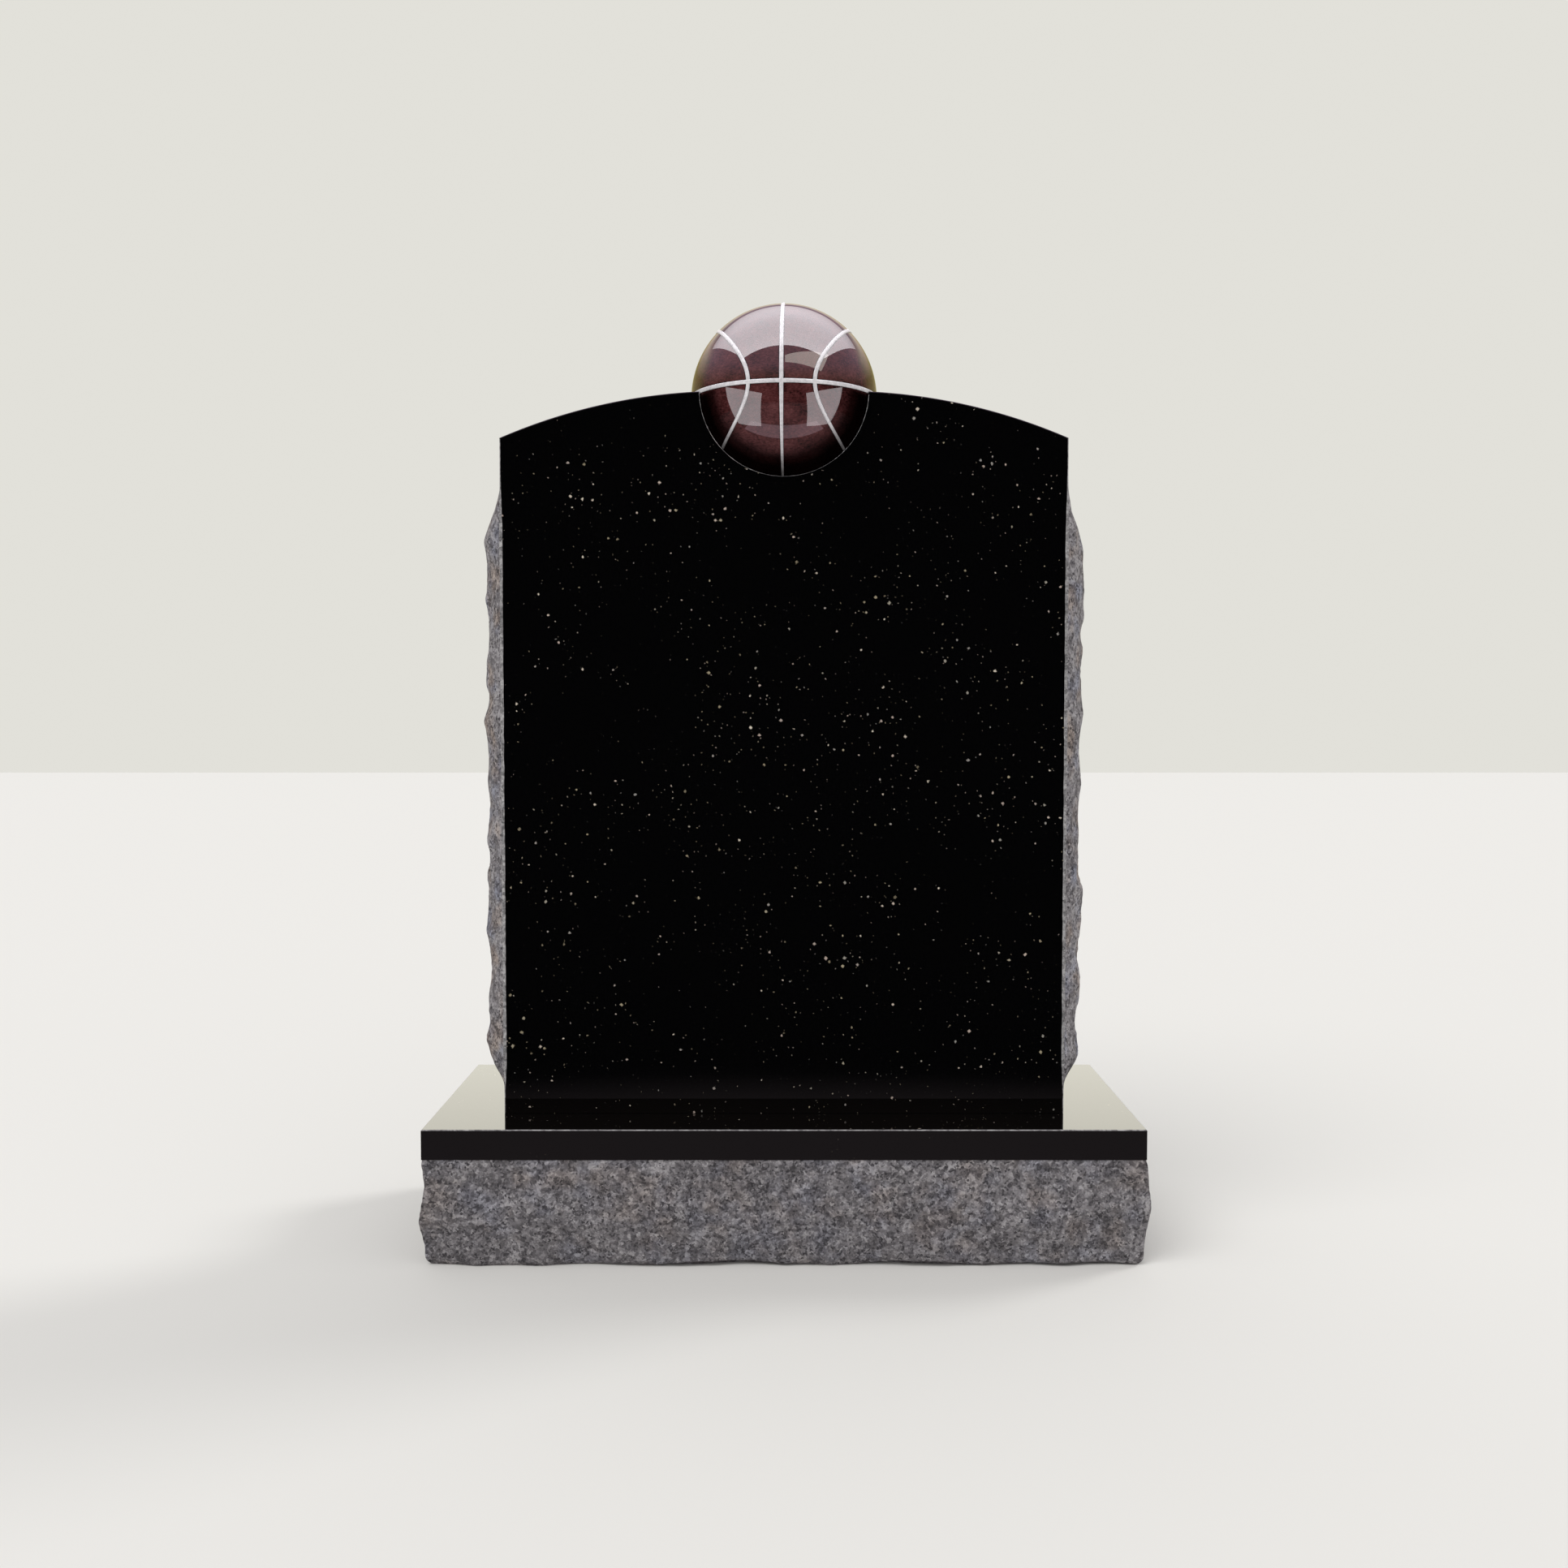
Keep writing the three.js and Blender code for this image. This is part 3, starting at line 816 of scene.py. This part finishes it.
def seam_paint():
    """The white seams: a slightly uneven satin, with painted shade that darkens them down in the
    socket.
    """
    finish, tree, shader = new_finish("seam_white", Roughness=0.4)
    place = add(tree, "ShaderNodeTexCoord").outputs["Object"]
    patch = noise(tree, place, 4, 3, 0.6).outputs[0]
    colour = ramp(tree, patch, [(0.25, (0.5, 0.48, 0.5)), (0.7, (0.74, 0.72, 0.74))])
    # Painted shade: the seams darken down in the socket, where the tablet shades the ball.
    socket_shade_fade = add(tree, "ShaderNodeAttribute", attribute_name="socket_shade_fade").outputs["Fac"]
    painted_socket_shade = ramp(tree, socket_shade_fade, [(0.1, 0.15), (0.5, 0.45), (0.85, 1.0)])
    colour = blend(tree, 1.0, colour, painted_socket_shade, "MULTIPLY")
    tree.links.new(colour, shader.inputs["Base Color"])
    bumped(tree, shader, patch, 0.3, 0.3)
    return finish


broken = broken_granite("pitched_granite", 0.02, 0.8, 0.35, 8.0)
weathered = broken_granite("weathered_granite", 0.18, 1.1, 0.75, 14.0)
polish = polished_granite()
# Painted light: the socket's bevel is made three times paler than the bruised edge, so that it
# reads bright in the ball's shade.
edge, socket_edge_painted_light = worn_edge_and_painted_light("bruised_edge", 0.5), worn_edge_and_painted_light("socket_edge_painted_light", 1.5)
base = build_base([broken, polish, edge])
build_tablet([weathered, polish, edge, socket_edge_painted_light])
ball = build_ball([russet_stone(), seam_paint()])


# Stage


def sheet(name, corners, finish):
    """A flat four-cornered sheet that isn't part of the headstone."""
    mesh = bpy.data.meshes.new(name)
    mesh.from_pydata(corners, [], [(0, 1, 2, 3)])
    mesh.materials.append(finish)
    made = bpy.data.objects.new(name, mesh)
    bpy.context.scene.collection.objects.link(made)
    return made


def glow(name, colour, strength):
    """Even light for a card that only shows in reflections, and lets what is behind through."""
    finish = bpy.data.materials.new(name)
    finish.use_nodes = True
    tree = finish.node_tree
    tree.nodes.clear()
    light = add(tree, "ShaderNodeEmission", {"Color": (*colour, 1), "Strength": strength})
    clear = add(tree, "ShaderNodeBsdfTransparent")
    both = add(tree, "ShaderNodeAddShader", {0: light.outputs[0], 1: clear.outputs[0]})
    out = tree.nodes.new("ShaderNodeOutputMaterial")
    tree.links.new(both.outputs[0], out.inputs["Surface"])
    return finish


def receiver(name, piece):
    """A collection that lets cards shine on one piece alone."""
    collection = bpy.data.collections.new(name)
    collection.objects.link(piece)
    return collection


on_ball, on_base = receiver("on_ball", ball), receiver("on_base", base)


def card(name, corners, light, receivers):
    """A lit card that is seen in glossy reflections only, and only in its receivers."""
    made = sheet(name, corners, light)
    made.visible_camera = made.visible_diffuse = made.visible_shadow = False
    made.visible_transmission = made.visible_volume_scatter = False
    made.light_linking.receiver_collection = receivers
    return made


FLOOR_REACH = 14.0
floor_finish, _, _ = new_finish("floor", Base_Color=(0.815, 0.8, 0.765, 1), Roughness=0.7,
                                Specular_IOR_Level=0.0)
floor = sheet("floor", [(side * FLOOR_REACH, end * FLOOR_REACH, 0)
                        for side, end in ((-1, -1), (1, -1), (1, 1), (-1, 1))], floor_finish)
floor.visible_glossy = False

ceiling = glow("ceiling_glow", (1.0, 0.97, 1.0), 1.0)
ceiling_place = add(ceiling.node_tree, "ShaderNodeTexCoord").outputs["Object"]
ceiling_y = add(ceiling.node_tree, "ShaderNodeSeparateXYZ", {0: ceiling_place}).outputs[1]
brightness = maths(ceiling.node_tree, "MULTIPLY_ADD", ceiling_y, -2.9, 5.7)
ceiling.node_tree.links.new(brightness, ceiling.node_tree.nodes["Emission"].inputs["Strength"])
card("ceiling_card", [(-1.7, -1.1, 2.45), (1.7, -1.1, 2.45), (1.7, 1.6, 2.45),
                      (-1.7, 1.6, 2.45)], ceiling, on_ball)
card("rear_card", [(-2.5, 2.3, 0.345), (2.5, 2.3, 0.345), (2.5, 2.3, 1.095), (-2.5, 2.3, 1.095)],
     glow("rear_glow", (1, 0.99, 0.96), 1.71), on_base)
card("highlight_card", [(0.03, -1.22, 1.98), (1.1, -0.53, 1.94), (1.06, -1.05, 1.54),
                        (0.03, -1.37, 1.79)],
     glow("highlight_glow", (1, 0.95, 0.86), 3.9), on_ball)
card("low_card", [(-1.1, -1.12, 0.02), (1.1, -1.12, 0.02), (1.1, -0.66, 0.02),
                  (-1.1, -0.66, 0.02)], glow("low_glow", (1, 0.74, 0.85), 1.25), on_ball)
window = glow("window_glow", (1.0, 0.94, 0.97), 4.2)
for side in (-1, 1):
    card(f"window_card_{side + 1}", [(side * 0.97, -0.35, 1.08), (side * 0.45, -0.98, 0.88),
                                     (side * 0.45, -0.73, 0.28), (side * 0.82, -0.44, 0.43)],
         window, on_ball)


def soft_light(name, azimuth, elevation, strength, spread):
    """Even light from a wide patch of sky, which shapes the broken stone and stays out of
    reflections. Azimuth 0 comes from the front and 90 from the right."""
    data = bpy.data.lights.new(name, "SUN")
    data.energy, data.angle = strength, math.radians(spread)
    light = bpy.data.objects.new(name, data)
    bpy.context.scene.collection.objects.link(light)
    light.rotation_euler = (math.radians(90 - elevation), 0, math.radians(azimuth))
    light.visible_glossy = False


soft_light("key_light", -40, 52, 1.1, 40)
soft_light("rear_light", 118, 30, 1.0, 18)

world = bpy.data.worlds.new("studio")
bpy.context.scene.world = world
world.use_nodes = True
sky = world.node_tree
sky.nodes.clear()
path = add(sky, "ShaderNodeLightPath")
direction = add(sky, "ShaderNodeSeparateXYZ",
                {0: add(sky, "ShaderNodeTexCoord").outputs["Generated"]})
height_share = maths(sky, "MULTIPLY_ADD", direction.outputs[2], 0.5, 0.5)
front_share = maths(sky, "MULTIPLY_ADD", direction.outputs[1], -4.0, 2.5, clamp=True)
rear_tone = ramp(sky, height_share, [
    (0.3, (0.2, 0.18, 0.15)), (0.46, (0.42, 0.38, 0.2)), (0.6, (0.44, 0.4, 0.18)),
    (0.65, (0.42, 0.36, 0.14)), (0.69, (0.85, 0.7, 0.5)), (0.73, (1.1, 0.98, 0.8)),
    (0.79, (0.55, 0.44, 0.52)), (0.9, (0.3, 0.23, 0.3))])
front_tone = ramp(sky, height_share, [
    (0.2, (0.25, 0.195, 0.205)), (0.374, (0.2, 0.165, 0.175)), (0.387, (0.008, 0.008, 0.009)),
    (0.61, (0.006, 0.006, 0.007)), (0.65, (0.4, 0.3, 0.26)), (0.76, (0.8, 0.62, 0.78))])
glossy = blend(sky, front_share, rear_tone, front_tone)
seen = blend(sky, path.outputs["Is Glossy Ray"], (0.62, 0.62, 0.63), glossy)
seen = blend(sky, path.outputs["Is Camera Ray"], seen, (0.76, 0.75, 0.7))
background = add(sky, "ShaderNodeBackground", {"Color": seen, "Strength": 1.0})
sky.links.new(background.outputs[0], add(sky, "ShaderNodeOutputWorld").inputs["Surface"])

camera_data = bpy.data.cameras.new("camera")
camera_data.lens, camera_data.sensor_width = LENS_LENGTH, SENSOR_WIDTH
camera = bpy.data.objects.new("camera", camera_data)
bpy.context.scene.collection.objects.link(camera)
camera.location = CAMERA_PLACE
camera.rotation_euler = (math.radians(90 - CAMERA_TILT), 0, 0)
bpy.context.scene.camera = camera
bpy.context.scene.view_settings.view_transform = "Standard"
